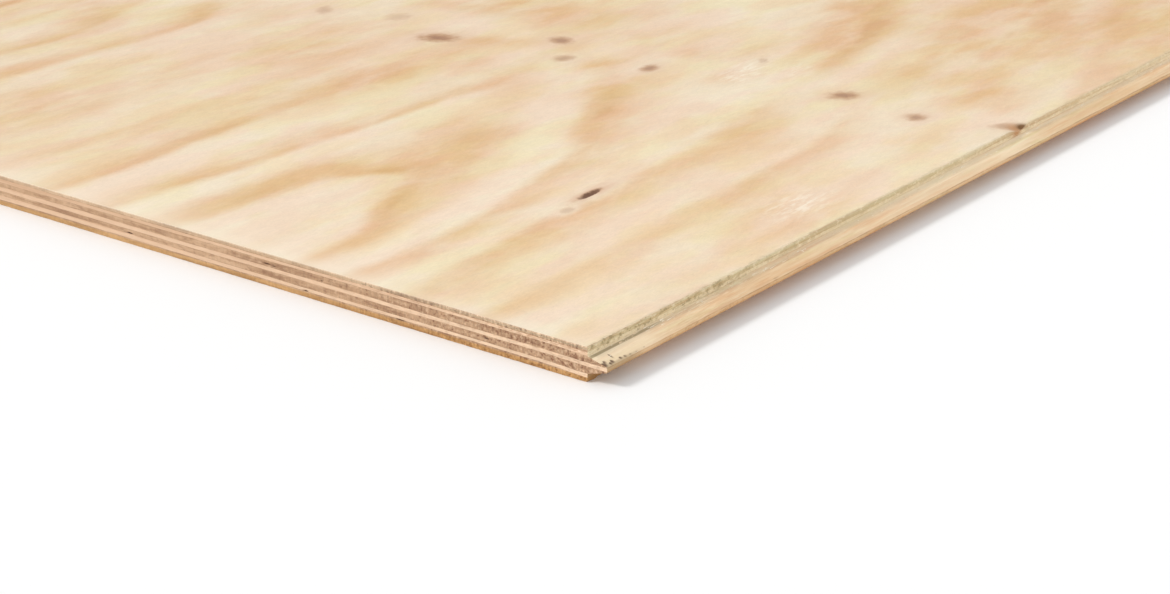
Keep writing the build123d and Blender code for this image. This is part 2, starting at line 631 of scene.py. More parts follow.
def skin_points(knots, zones):
    """Points inside the broad face: a jittered grid for each zone, and rings round each knot."""
    chance = np.random.default_rng(SKIN_SEED)
    found = []
    for low, high, hole, spacing in zones:
        along = np.arange(low[0] + spacing / 2, high[0], spacing)
        across = np.arange(low[1] + spacing / 2, high[1], spacing)
        grid = np.stack(np.meshgrid(along, across), -1).reshape(-1, 2)
        grid = grid + chance.uniform(-SKIN_STRAY, SKIN_STRAY, grid.shape) * spacing
        if hole:
            grid = grid[(grid[:, 0] > hole[0]) | (grid[:, 1] > hole[1])]
        found.append(grid)
    points = np.concatenate(found)
    nearest = knot_fields(knots, points[:, 0], points[:, 1])[0]
    found = [points[nearest > KNOT_RINGS[-1] + 0.3]]
    spokes = np.arange(KNOT_SPOKES) * 2 * math.pi / KNOT_SPOKES
    for middle_along, middle_across, half_length, half_width, turn, _ in knots:
        turned = math.radians(turn)
        for count, share in enumerate([0.0] + KNOT_RINGS):
            angles = spokes[:1] if share == 0 else spokes + count * math.pi / KNOT_SPOKES
            a = share * half_length * np.cos(angles)
            b = share * half_width * np.sin(angles)
            along = middle_along + a * math.cos(turned) - b * math.sin(turned)
            across = middle_across + a * math.sin(turned) + b * math.cos(turned)
            found.append(np.stack([along, across], -1))
    points = np.concatenate(found)
    limit = np.array([SHEET_LENGTH, FACE_WIDTH]) - SKIN_MARGIN
    points = points[((points > SKIN_MARGIN) & (points < limit)).all(1)]
    keys = np.unique(np.round(points / LEAST_SPACING).astype(int), axis=0, return_index=True)[1]
    return points[np.sort(keys)]


# Deepest that the face and the back dip below their skins, and the seeds of their fine waves
FACE_DIP_MOST = 2.3
BACK_DIP_MOST = 0.5
FACE_WAVE_SEED = 71
TORN_SEED = 72
BACK_WAVE_SEED = 73


def face_dip(knots, along, across):
    """Millimetres that the sanded face lies below the sheet's full thickness."""
    nearest, dark = knot_fields(knots, along, across)
    dip = 0.03 + 0.02 * smooth_noise(along / 60, across / 4, FACE_WAVE_SEED)
    dip = dip + 0.12 * dark * (1 - ease(0.7, 1.05, nearest))
    dip = dip - 0.02 * ease(0.9, 1.2, nearest) * (1 - ease(1.2, 2.2, nearest))
    dip = dip + 1.0 * ease(1.2, 1.6, dark) * (1 - ease(0.35, 0.95, nearest))
    torn = patch_field(TORN_PATCHES, along, across)
    dip = dip + torn * (0.10 + 0.10 * smooth_noise(along / 9, across / 1.6, TORN_SEED))
    return np.clip(dip + scoop(along, across), 0.0, FACE_DIP_MOST)


def back_dip(knots, along, across):
    """Millimetres that the unsanded back lies above the sheet's underside."""
    nearest, dark = knot_fields(knots, along, across)
    dip = 0.05 + 0.3 * dark * (1 - ease(0.6, 1.05, nearest))
    dip = dip + 0.05 * smooth_noise(along / 50, across / 5, BACK_WAVE_SEED)
    return np.clip(dip, 0.0, BACK_DIP_MOST)


# Meshes

def edge_rows(name, rows):
    """A veneer's edge, a row of points at each share of its thickness.

    Gives the points, each point's distance from the nearest glue line and depth of tearing, and
    which of the sheet's four sides each station is on."""
    ply = PLIES.index(name)
    along, across, side, inward = perimeter()
    low = glue_height(ply, along, across)
    high = glue_height(ply + 1, along, across)
    height = low + (high - low) * np.array(rows)[:, None]
    tongue = np.interp(height, TONGUE_HEIGHTS, TONGUE_ACROSS)
    groove = np.interp(height, GROOVE_HEIGHTS, GROOVE_ACROSS) - FACE_WIDTH
    tongue = tongue * np.clip(1 - across / TONGUE_BLEND, 0, 1)
    groove = groove * np.clip(1 - (FACE_WIDTH - across) / GROOVE_BLEND, 0, 1)
    placed_across = across + tongue + groove
    placed_along = np.broadcast_to(along, height.shape)
    relief, pits = edge_relief(name, side, placed_along, placed_across, height, EDGE_SEED + 10 * ply)
    placed_along = placed_along + inward[:, 0] * relief
    placed_across = placed_across + inward[:, 1] * relief
    # The underside and the face are no glue lines
    gap = np.minimum(height - low, high - height)
    if ply == 0:
        gap = high - height
    if ply == len(PLIES) - 1:
        gap = height - low
    points = np.stack([placed_along, placed_across, height], -1).reshape(-1, 3)
    return points, gap.reshape(-1), pits.reshape(-1), side


def cap(outline, inner):
    """Triangles that fill an outline, by way of the points inside it."""
    flat = [Vector(point) for point in outline.tolist() + inner.tolist()]
    made = delaunay_2d_cdt(flat, [], [list(range(len(outline)))], 1, 1e-6, True)
    kept = [origin[0] for origin in made[3]]
    # The triangulation also fills the notches outside the outline, which belong to no input face
    inside = [face for face, owners in zip(made[2], made[5]) if owners]
    return np.array([[kept[corner] for corner in face] for face in inside])


def veneer_mesh(name, skins):
    """A closed veneer: rows of points round its edge, and a triangulated face above and below.

    skins gives, for "top" or "bottom", the points inside that face and how deep it dips there."""
    ply = PLIES.index(name)
    rows = CORE_ROWS if name.endswith("core") else THIN_ROWS
    if name == "upper_core":
        rows = np.linspace(0, 1, FLANK_ROWS)
    edge, gap, pits, side = edge_rows(name, rows)
    points, gaps, depths = [edge], [gap], [pits]
    faces = []
    slots = []
    count = len(side)
    here = np.arange(count)
    after = (here + 1) % count
    edge_slots = np.where(np.isin(side, (FAR_END, NEAR_END)), END_SLOT, LONG_SLOT).tolist()
    for base in range(0, (len(rows) - 1) * count, count):
        quads = np.stack([base + here, base + after, base + count + after, base + count + here], -1)
        faces += quads.tolist()
        slots += edge_slots
    total = len(edge)
    for skin, row, level, down in (("top", len(rows) - 1, ply + 1, 1), ("bottom", 0, ply, -1)):
        inner, dip = skins[skin]
        loop = row * count + here
        number = np.concatenate([loop, total + np.arange(len(inner))])
        corners = number[cap(edge[loop, :2], inner)]
        faces += corners[:, ::down].tolist()
        slots += [BROAD_SLOT] * len(corners)
        points.append(np.column_stack([inner, GLUE_HEIGHTS[level] - down * dip]))
        gaps.append(np.full(len(inner), THICKNESS))
        depths.append(np.zeros(len(inner)))
        total += len(inner)
    return np.concatenate(points), faces, slots, np.concatenate(gaps), np.concatenate(depths)


def plain_skin():
    """Sparse flat points inside a face that is glued to the next veneer."""
    limit = (SHEET_LENGTH - GLUED_MARGIN, FACE_WIDTH - GLUED_MARGIN)
    points = skin_points([], [((GLUED_MARGIN, GLUED_MARGIN), limit, None, GLUED_SPACING)])
    return points, np.zeros(len(points))


def in_frame(points):
    """Points in millimetres on the sheet, in metres in its frame."""
    return (points + np.array([NEAR_END_X, SHOULDER_Y, 0.0])) * MM


def inside_sheet(points):
    """Points moved to the sheet's own box where they stand out of it."""
    return np.clip(points, np.array(SHEET_LOW), np.array(SHEET_HIGH))


def new_object(name, data):
    """An object of its own in the scene."""
    made = bpy.data.objects.new(name, data)
    bpy.context.scene.collection.objects.link(made)
    return made


# Edges that turn more than this, in degrees, are sharp
SHARP_ANGLE = 50


def build_veneer(name, skins, materials, fields=None):
    """Makes a veneer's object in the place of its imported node."""
    points, faces, slots, gaps, depths = veneer_mesh(name, skins)
    mesh = bpy.data.meshes.new(name + "_finished")
    mesh.from_pydata(inside_sheet(in_frame(points)).tolist(), [], faces)
    mesh.polygons.foreach_set("material_index", slots)
    mesh.shade_smooth()
    mesh.set_sharp_from_angle(angle=math.radians(SHARP_ANGLE))
    values = {"glue_gap": gaps, "pit": depths, "stain": np.zeros(len(points))}
    values.update(fields(points) if fields else {})
    for label, numbers in values.items():
        layer = mesh.attributes.new(label, "FLOAT", "POINT")
        layer.data.foreach_set("value", np.asarray(numbers, np.float32))
    mesh.update()
    for material in materials:
        mesh.materials.append(material)
    piece = new_object(name + "_finished", mesh)
    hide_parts(name)
    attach(piece, "root")


# Node trees written as arithmetic

class Wire:
    """One socket's value inside a recipe: arithmetic on it adds Math nodes."""

    def __init__(self, recipe, socket):
        self.recipe = recipe
        self.socket = socket

    def math(self, operation, first, second=0.0, third=0.0):
        return self.recipe.node("ShaderNodeMath", {"operation": operation}, {0: first, 1: second, 2: third})

    def __add__(self, other):
        return self.math("ADD", self, other)

    def __sub__(self, other):
        return self.math("SUBTRACT", self, other)

    def __rsub__(self, other):
        return self.math("SUBTRACT", other, self)

    def __mul__(self, other):
        return self.math("MULTIPLY", self, other)

    __radd__ = __add__
    __rmul__ = __mul__

    def fraction(self):
        return self.math("FRACT", self)

    def least(self, other):
        return self.math("MINIMUM", self, other)

    def ease(self, low, high):
        """Smooth step from 0 where the value is low to 1 where it is high."""
        limits = {"Value": self, "From Min": low, "From Max": high}
        if low > high:
            limits = {"Value": self, "From Min": high, "From Max": low, "To Min": 1.0, "To Max": 0.0}
        return self.recipe.node("ShaderNodeMapRange", {"interpolation_type": "SMOOTHSTEP"}, limits)

    def other(self, name):
        """Another output of the node that made this value."""
        return Wire(self.recipe, self.socket.node.outputs[name])


class Recipe:
    """A node tree being written. Every node in it comes from the node method."""

    def __init__(self, tree):
        self.tree = tree

    def node(self, kind, settings=None, values=None, output=0):
        made = self.tree.nodes.new(kind)
        for key, value in (settings or {}).items():
            setattr(made, key, value)
        for key, value in (values or {}).items():
            socket = made.inputs[key]
            if isinstance(value, Wire):
                self.tree.links.new(value.socket, socket)
            elif socket.type == "RGBA":
                socket.default_value = (*value[:3], 1.0)
            else:
                socket.default_value = value
        return Wire(self, made.outputs[output]) if made.outputs else made

    def place(self):
        return self.node("ShaderNodeTexCoord", output="Object")

    def split(self, vector):
        """A vector's three parts."""
        first = self.node("ShaderNodeSeparateXYZ", None, {0: vector})
        return first, first.other("Y"), first.other("Z")

    def noise(self, vector, factors, shift=0.0, detail=2.0, roughness=0.5):
        """Noise of waves whose count to the metre is given along each axis."""
        spread = self.node("ShaderNodeVectorMath", {"operation": "MULTIPLY_ADD"},
                           {0: vector, 1: factors, 2: (shift, 1.7 * shift, 0.6 * shift)})
        return self.node("ShaderNodeTexNoise", {"noise_dimensions": "3D"},
                         {"Vector": spread, "Scale": 1.0, "Detail": detail, "Roughness": roughness})

    def attribute(self, name):
        return self.node("ShaderNodeAttribute", {"attribute_name": name}, output="Fac")

    def mix(self, share, first, second, blend="MIX"):
        """Two colours mixed."""
        return self.node("ShaderNodeMix", {"data_type": "RGBA", "blend_type": blend},
                         {0: share, 6: first, 7: second}, output=2)


def linear(colour):
    """A display colour of three parts from 0 to 1, as light."""
    return tuple(part / 12.92 if part <= 0.04045 else ((part + 0.055) / 1.055) ** 2.4 for part in colour)


class Coat:
    """A colour built up in layers, in the tones of a look."""

    def __init__(self, recipe, look, tone):
        self.recipe = recipe
        self.look = look
        self.colour = self.tone(tone)

    def tone(self, tone):
        return linear(getattr(self.look, tone)) if isinstance(tone, str) else tone

    def lay(self, share, tone):
        """Covers a share of what is there with a tone."""
        self.colour = self.recipe.mix(share, self.colour, self.tone(tone))

    def cast(self, share, tone):
        """Tints a share of what is there with a tone."""
        self.colour = self.recipe.mix(share, self.colour, self.tone(tone), "MULTIPLY")

    def shade(self, light):
        """Makes what is there lighter or darker, alike in red, green and blue."""
        self.cast(1.0, self.recipe.node("ShaderNodeCombineColor", None, {0: light, 1: light, 2: light}))


def finish_wood(recipe, colour, height, rough, bump, depth):
    """Ends a recipe in raw wood: colour, roughness and fine relief."""
    relief = recipe.node("ShaderNodeBump", None,
                         {"Strength": bump, "Distance": depth, "Height": height})
    shader = recipe.node("ShaderNodeBsdfPrincipled", None,
                         {"Base Color": colour, "Roughness": rough, "Normal": relief,
                          "Specular IOR Level": 0.25})
    recipe.node("ShaderNodeOutputMaterial", None, {"Surface": shader})


def new_material(name):
    """An empty material and the recipe of its tree."""
    material = bpy.data.materials.new(name)
    material.use_nodes = True
    material.node_tree.nodes.clear()
    return material, Recipe(material.node_tree)


# In the recipes of wood, x and y are in metres in the sheet's frame and up is in millimetres
# Where along the sheet the shoulder's dull fuzz, and the painted shade of the cast over the shoulder, grow
# fainter
SHOULDER_FADE = (-0.94, -0.72)

def grow_knots(r, place, look, wood):
    """Knots in a face: a ring of bent wood, a ragged body, a dark rim and a darker heart."""
    far = r.attribute("knot")
    dark = r.attribute("dark")
    ragged = far + (r.noise(place, (190, 190, 190), 53.0, 3.0) - 0.5) * 0.9
    body = ragged.ease(1.5, 0.45)
    rim = ragged.ease(0.45, 0.85) * ragged.ease(1.35, 0.95)
    heart = ragged.ease(0.95, 0.1)
    bent = far.ease(3.2, 1.0) * (0.5 + r.noise(place, (70, 200, 70), 55.0).ease(0.3, 0.7))
    wood.lay(bent * dark * 0.42, "halo")
    knot = Coat(r, look, "knot")
    knot.lay((heart * 0.70 + rim * 0.20).least(1.0), "knot_dark")
    knot.lay(r.noise(place, (420, 420, 420), 57.0).ease(0.50, 0.70) * 0.3, "knot_dark")
    wood.lay(body * dark.least(0.95), knot.colour)
    # Painted shade inside the split knot
    wood.lay(dark.ease(1.2, 1.5) * ragged.ease(1.1, 0.6) * 0.72, "hollow")
    return body


def wear_border_and_shade(r, place, wood):
    """The face: darker away from the near corner as painted shade, paler by the sawn end, fuzzy along the
    tongue's arris, stained round the broken knot, and painted dark as shade in its hole.
    """
    x, y = r.split(place)[:2]
    # Painted shade: the face grows a little darker away from the near corner, where the light falls off
    wood.cast((x + y).ease(-1.65, -0.95), "further")
    by_end = x.ease(-1.17, -1.21) * y.ease(-0.50, -0.44) * 0.22 + x.ease(-1.205, -1.218) * 0.22
    wood.lay(by_end * (1.0 - y.ease(-0.34, -0.24) * 0.35), "border")
    across = y * (1 / MM) - SHOULDER_Y
    fuzz = r.noise(place, (260, 420, 260), 63.0, 3.0, 0.7).ease(0.40, 0.58)
    wood.lay(across.ease(2.6, 0.8) * (0.25 + fuzz * 0.75) * (0.55 - x.ease(*SHOULDER_FADE) * 0.25), "arris")
    wood.lay(r.attribute("stain"), "stain")
    # Painted shade inside the hole of the broken knot
    wood.lay(r.attribute("broken") * 0.92, "broken")


def figured_pine(name, look, shift=0.0):
    """The broad face of rotary-cut pine: bands of late wood, fine grain, knots and torn spots."""
    material, r = new_material(name)
    place = r.place()

    def grain(run, rise, seed, detail=3.0, rough=0.55):
        """Noise drawn out along the grain: waves to the metre along it and across it."""
        return r.noise(place, (run, rise, run), seed + shift, detail, rough)

    # Late wood follows the ring number, feathered along the grain
    wander = grain(8, 26, 1.3, 2.0, 0.5) - 0.5
    feather = grain(50, 110, 2.1) - 0.5
    part = (r.attribute("ring") + wander * 0.28 + feather * 0.12).fraction()
    late = part.ease(look.band_start, look.band_full) * part.ease(1.0, look.band_drop)
    uneven = grain(22, 44, 7.7, 3.0, 0.6).ease(0.30, 0.62)
    late = late * (0.67 + uneven * 0.47) * r.attribute("show")
    warm = r.attribute("warm") * (0.58 + grain(20, 50, 9.2).ease(0.30, 0.66) * 0.60)
    faint = grain(15, 48, 14.1).ease(0.40, 0.76) * look.faint_bands
    depth = (late + (warm + faint + 0.08) * (1.0 - r.attribute("pale"))).least(1.5)
    wood = Coat(r, look, "cream")
    wood.lay(depth.least(1.0), "tan")
    wood.lay(depth.ease(0.95, 1.7), "orange")
    # Large soft casts, then streaks along the grain from broad to fine
    wood.cast(grain(16, 38, 17.1).ease(0.40, 0.60), "pink")
    wood.cast(grain(14, 34, 23.4).ease(0.42, 0.62), "straw")
    broad = grain(34, 90, 31.0, 3.0, 0.6) - 0.5
    fine = grain(170, 430, 37.0, 3.0, 0.6) - 0.5
    hair = grain(520, 1500, 41.0, 2.0, 0.5) - 0.5
    light = 1.0 + (broad * 0.09 + fine * 0.17 + hair * 0.19) * look.grain
    # Resin canals: short dark dashes
    dash = grain(150, 1500, 47.0, 1.0, 0.5).ease(0.68, 0.82)
    wood.shade(light * (1.0 - dash * 0.13))
    body = grow_knots(r, place, look, wood)
    torn = r.attribute("torn") * r.noise(place, (75, 300, 75), 61.0, 4.0, 0.65).ease(0.44, 0.64)
    wood.lay(torn * 0.7, "torn")
    wear_border_and_shade(r, place, wood)
    relief = fine * 0.5 + hair * 0.4 - dash * 0.6 + body * 0.6 + torn * 1.2
    finish_wood(r, wood.colour, relief, 0.62 - late * 0.08 + fine * 0.12, 0.30, 0.0003)
    return material


# The kinds of cut edge, by whether it is at a sawn end and whether it is a crossband's: its base,
# pale and dark tones; waves to the metre along it and up it of blotches, specks, the tool's comb
# and streaks; and the strength of each of those four
EDGE_KINDS = {
    # End grain, combed by the saw and speckled
    (True, False): (("end_grain", "end_pale", "end_dark"),
                    ((26, 170), (560, 600), (800, 130), (26, 720)), (0.50, 0.85, 0.45, 0.35)),
    # Side grain of a crossband, clean and pale
    (True, True): (("cross_side", "cross_pale", "cross_dark"),
                   ((30, 150), (330, 900), (160, 900), (18, 640)), (0.18, 0.55, 0.30, 0.40)),
    # End grain of a crossband, cut clean by the mill
    (False, True): (("milled_grain", "milled_pale", "milled_dark"),
                    ((60, 200), (520, 620), (300, 300), (70, 500)), (0.55, 0.55, 0.20, 0.35)),
    # Side grain, in long streaks
    (False, False): (("tongue_side", "tongue_pale_and_painted_light", "tongue_dark"),
                     ((14, 180), (75, 1000), (28, 1500), (9, 430)), (0.50, 0.60, 0.30, 0.60)),
}
# Away from the rough corner the specks of a sawn end are longer
LONG_SPECK = 0.42
# Heights between which the warm cast of painted bounce light over the back veneer sets in, going down
PAINTED_BOUNCE_HEIGHTS = (2.9, 2.2)


def sawn_crossband(wood, y, up, rough, base, pale, dark):
    """Tones of the crossbands at a sawn end, each at its own height."""
    wood.lay((1.0 - rough) * 0.3, base)
    wood.lay((1.0 - rough) * 0.20, dark)
    wood.lay(up.ease(5.4, 4.9) * (0.22 + rough * 0.22), pale)
    wood.lay(up.ease(12.6, 13.4) * y.ease(-0.38, -0.28) * 0.26, "end_grain")
    wood.lay(up.ease(7.4, 8.0) * up.ease(10.7, 10.1) * (0.12 + rough * 0.2), pale)


def sawn_long_grain(wood, up, rough, dark):
    """Tones of the other veneers at a sawn end: the plies below the face's, the face's, the back's."""
    wood.lay(up.ease(16.4, 15.8) * (0.16 + rough * 0.12), dark)
    wood.lay(up.ease(15.8, 16.3) * (0.27 - rough * 0.27), "end_top")
    wood.lay(up.ease(17.5, 17.1) * up.ease(16.0, 16.6) * (0.10 + rough * 0.28), "end_grey")
    wood.lay(up.ease(17.3, 17.9) * (0.52 - rough * 0.24), "border")
    wood.lay(up.ease(2.9, 2.3) * (0.24 - rough * 0.12), "end_low")
    # Painted bounce light: a warmer, slightly darker cast over the back veneer, more by the rough corner
    wood.cast(up.ease(*PAINTED_BOUNCE_HEIGHTS) * rough * 0.8, "low")


def milled_casts(wood, waves, fuzz, x, up, rough, crossed):
    """Casts of a milled edge: the tongue's flank, the shoulder above it and the tongue's nose."""
    warm = waves(16, 260, 23.0, 3.0)
    shoulder = up.ease(TONGUE_ROOT_HIGH - 0.15, TONGUE_ROOT_HIGH + 0.3)
    flank = 1.0 - shoulder
    wood.cast(flank * warm.ease(0.50, 0.66), "rosy")
    wood.cast(flank * warm.ease(0.48, 0.34), "greenish")
    # Painted light: just below the tongue's root the flank is drawn paler, away from the rough corner, to
    # lift the shade of the corner
    root = flank * up.ease(TONGUE_ROOT_HIGH - 1.1, TONGUE_ROOT_HIGH - 0.5) * (1.0 - rough)
    wood.lay(root * 0.5, "tongue_pale_and_painted_light")
    swing = x.math("SINE", x * SWING_RATE + waves(2.5, 20, 37.0) * 3.0 + SWING_START)
    lower = up.ease(12.9, 11.9)
    wood.lay(flank * swing.ease(-0.1, 1.0) * (0.46 - lower * 0.16), "tongue_pale_and_painted_light")
    by_corner = x.ease(-1.10, -1.14) * 0.28
    wood.lay(flank * ((swing.ease(0.1, -1.0) * 0.40 + by_corner) * lower), "tongue_tan")
    wood.lay(flank * x.ease(-1.168, -1.184) * 0.5, "tongue_pale_and_painted_light")
    # Painted shade: the tongue's nose and the edge below it are drawn darker by the near end
    wood.lay(up.ease(11.0, 10.5) * x.ease(-1.186, -1.204) * 0.5, "shoulder_fuzz_and_shade")
    # Grey-green cast over the shoulder, strongest by the near end: partly the milled wood's own grey, partly
    # painted shade and greenish bounce light
    cast = shoulder * up.ease(THICKNESS + 0.1, THICKNESS - 0.7) * (0.42 if crossed else 1.0)
    wood.cast(cast * (1.0 - x.ease(*SHOULDER_FADE) * 0.5), "shoulder")
    wood.lay(shoulder * fuzz.ease(0.47, 0.37) * (0.10 + rough * 0.62), "shoulder_fuzz_and_shade")
    wood.lay(shoulder * fuzz.ease(0.55, 0.66) * 0.5, "tongue_pale_and_painted_light")
    # Painted light: the foot of the shoulder by the tongue's root is drawn paler, to lift the shade of the
    # corner
    wood.lay(shoulder * up.ease(14.9, 14.2) * 0.25, "tongue_pale_and_painted_light")
    # Painted shade: the crease of the mill's nick, where the shoulder meets the tongue, is drawn dark near
    # the corner
    nick = up.ease(12.72, 12.92) * up.ease(13.42, 13.2) * x.ease(-1.15, -1.18)
    wood.lay(nick * 0.75, "shoulder_fuzz_and_shade")
    nose = up.ease(10.4, 10.05)
    wood.cast(nose, "nose")
    # Painted shade: from the lower half of the nose down, under the tongue, the edge is drawn darker
    wood.cast(up.ease(9.3, 8.1) * 0.85, "nose")
    wood.cast(up.ease(12.0, 11.2) * 0.25, "nose")
    lip = nose * up.ease(9.7, 10.1) * waves(90, 20, 33.0, 3.0).ease(0.42, 0.60)
    wood.lay(lip * 0.4, "end_dark")


def cut_edge(name, look, at_end, crossed):
    """A sawn end or a milled edge of one veneer: end grain, or grain that runs along the edge."""
    material, r = new_material(name)
    place = r.place()
    x, y, z = r.split(place)
    up = z * (1 / MM)

    def waves(run, rise, seed, detail=2.0):
        """Noise with its own number of waves to the metre along the edge and up it."""
        factors = (0.7 * rise, run, rise) if at_end else (run, 0.7 * rise, rise)
        return r.noise(place, factors, seed, detail, 0.6)

    # Cut roughest towards the near tongue corner
    rough = y.ease(-0.30, -0.58) if at_end else x.ease(-1.0, -1.18)
    contrast = (0.36 + rough * 0.92) * look.end_contrast
    (base, pale, dark), (blotches, specks, combs, streaks), strengths = EDGE_KINDS[at_end, crossed]
    in_blotches, in_specks, in_comb, in_streaks = strengths
    blotch = waves(*blotches, 11.0)
    speck = waves(*specks, 3.0, 3.0)
    if at_end:
        speck = speck * rough + waves(specks[0] * LONG_SPECK, specks[1], 4.0, 3.0) * (1.0 - rough)
    comb = waves(*combs, 5.0)
    streak = waves(*streaks, 7.0, 3.0)
    wood = Coat(r, look, base)
    wood.lay(blotch.ease(0.52, 0.30) * in_blotches, dark)
    wood.lay(blotch.ease(0.50, 0.70) * in_blotches, pale)
    wood.lay(streak.ease(0.50, 0.68) * in_streaks, pale)
    wood.lay(streak.ease(0.48, 0.32) * in_streaks, dark)
    wood.lay((speck.ease(0.52, 0.66) * contrast * in_specks).least(1.0), pale)
    wood.lay((speck.ease(0.48, 0.34) * contrast * in_specks).least(1.0), dark)
    if at_end and crossed:
        sawn_crossband(wood, y, up, rough, base, pale, dark)
    elif at_end:
        sawn_long_grain(wood, up, rough, dark)
    wood.shade(1.0 + (comb - 0.5) * contrast * in_comb * 1.6)
    if not at_end:
        fuzz = r.noise(place, (260, 260, 420), 29.0, 3.0, 0.7)
        milled_casts(wood, waves, fuzz, x, up, rough, crossed)
    # Painted bounce light: the lowest ply's edges are drawn warmer and slightly darker
    wood.cast(up.ease(*PAINTED_BOUNCE_HEIGHTS), "low")
    # The glue line is a thin dark seam, broken here and there
    seam = r.attribute("glue_gap").ease(look.seam_width, 0.0) * waves(90, 60, 19.0).ease(0.35, 0.6)
    wood.lay(seam * (look.seam_strength if at_end else 0.2 * look.seam_strength), "glue")
    wood.lay(r.attribute("stain"), "stain")
    # Painted shade inside the torn hollows and chips, darker where they are deeper
    wood.lay(r.attribute("pit").ease(0.25, 1.0) * 0.85, "hollow")
    finish_wood(r, wood.colour, speck * 0.8 + comb * 0.5 + streak * 0.4, 0.72, 0.5, 0.0004)
    return material


def splinter_wood(look):
    """Loose pale fibres."""
    material, r = new_material("splinters")
    tone = r.noise(r.place(), (60, 60, 60), 2.0)
    wood = Coat(r, look, "tongue_side")
    wood.lay(tone.ease(0.35, 0.65), "torn")
    finish_wood(r, wood.colour, tone, 0.7, 0.2, 0.0002)
    return material


# Splinters by Geometry Nodes

# Inputs of the node group of splinters: kind and default
SPLINTER_INPUTS = {
    "Spacing": ("Float", 0.011),
    "Length": ("Float", 0.008),
    "Thickness": ("Float", 0.0003),
    "Lean": ("Float", 0.12),
    "Seed": ("Int", 4),
    "Material": ("Material", None),
}


def splinter_tree():
    """Sets thin cones on guide lines, each leaning its own way: made once."""
    tree = bpy.data.node_groups.new("splinters", "GeometryNodeTree")
    face = tree.interface
    face.new_socket(name="Geometry", in_out="INPUT", socket_type="NodeSocketGeometry")
    for label, (kind, default) in SPLINTER_INPUTS.items():
        socket = face.new_socket(name=label, in_out="INPUT", socket_type="NodeSocket" + kind)
        if default is not None:
            socket.default_value = default
    face.new_socket(name="Geometry", in_out="OUTPUT", socket_type="NodeSocketGeometry")
    r = Recipe(tree)
    given = r.node("NodeGroupInput")
    spacing, length, thickness, lean, seed, material = [given.other(name) for name in SPLINTER_INPUTS]

    def chance(low, high, shift):
        """A random number for each splinter."""
        return r.node("FunctionNodeRandomValue", {"data_type": "FLOAT"},
                      {2: low, 3: high, 8: seed + shift}, output=1)

    curve = r.node("GeometryNodeMeshToCurve", None, {"Mesh": given.other("Geometry")})
    spread = r.node("GeometryNodeCurveToPoints", {"mode": "LENGTH"}, {"Curve": curve, "Length": spacing})
    shift = r.node("ShaderNodeVectorMath", {"operation": "SCALE"},
                   {0: spread.other("Tangent"), 3: chance(-0.5, 0.5, 1) * spacing})
    points = r.node("GeometryNodeSetPosition", None, {"Geometry": spread, "Offset": shift})
    cone = r.node("GeometryNodeMeshCone", {"fill_type": "TRIANGLE_FAN"},
                  {"Vertices": 5, "Radius Top": 0.0, "Radius Bottom": 1.0, "Depth": 1.0})
    tilt = r.node("ShaderNodeCombineXYZ", None, {0: chance(-1, 1, 2) * lean, 1: chance(-1, 1, 3) * lean})
    tilt = r.node("FunctionNodeEulerToRotation", None, {0: tilt})
    turned = r.node("FunctionNodeRotateRotation", {"rotation_space": "LOCAL"},
                    {0: spread.other("Rotation"), 1: tilt})
    slim = chance(0.45, 1.0, 5) * thickness
    size = r.node("ShaderNodeCombineXYZ", None, {0: slim, 1: slim, 2: chance(0.25, 1.0, 4) * length})
    kept = r.node("FunctionNodeCompare", {"data_type": "FLOAT", "operation": "GREATER_THAN"},
                  {0: chance(0, 1, 6), 1: 0.35})
    set_out = r.node("GeometryNodeInstanceOnPoints", None,
                     {"Points": points, "Selection": kept, "Instance": cone, "Rotation": turned,
                      "Scale": size})
    real = r.node("GeometryNodeRealizeInstances", None, {"Geometry": set_out})
    coloured = r.node("GeometryNodeSetMaterial", None, {"Geometry": real, "Material": material})
    r.node("NodeGroupOutput", None, {"Geometry": coloured})
    return tree


# Settings

def tint(name, description, default):
    """A colour of a finish, as it shows on a display."""
    shares = tuple(part / 255 for part in default)
    return FloatVectorProperty(name=name, description=description, default=shares, size=3,
                               min=0.0, max=1.0, subtype="COLOR_GAMMA")


def share(name, description, default, most=1.0):
    """A strength from none up."""
    return FloatProperty(name=name, description=description, default=default, min=0.0, max=most,
                         subtype="FACTOR")


def distance(name, description, default, least, most):
    """A length in metres."""
    return FloatProperty(name=name, description=description, default=default, min=least, max=most,
                         subtype="DISTANCE", unit="LENGTH")


def angle(name, description, degrees):
    """An angle, given in degrees."""
    return FloatProperty(name=name, description=description, default=math.radians(degrees), subtype="ANGLE")


def direction(name, description, default):
    """A direction of three parts."""
    return FloatVectorProperty(name=name, description=description, default=default, size=3,
                               subtype="DIRECTION")


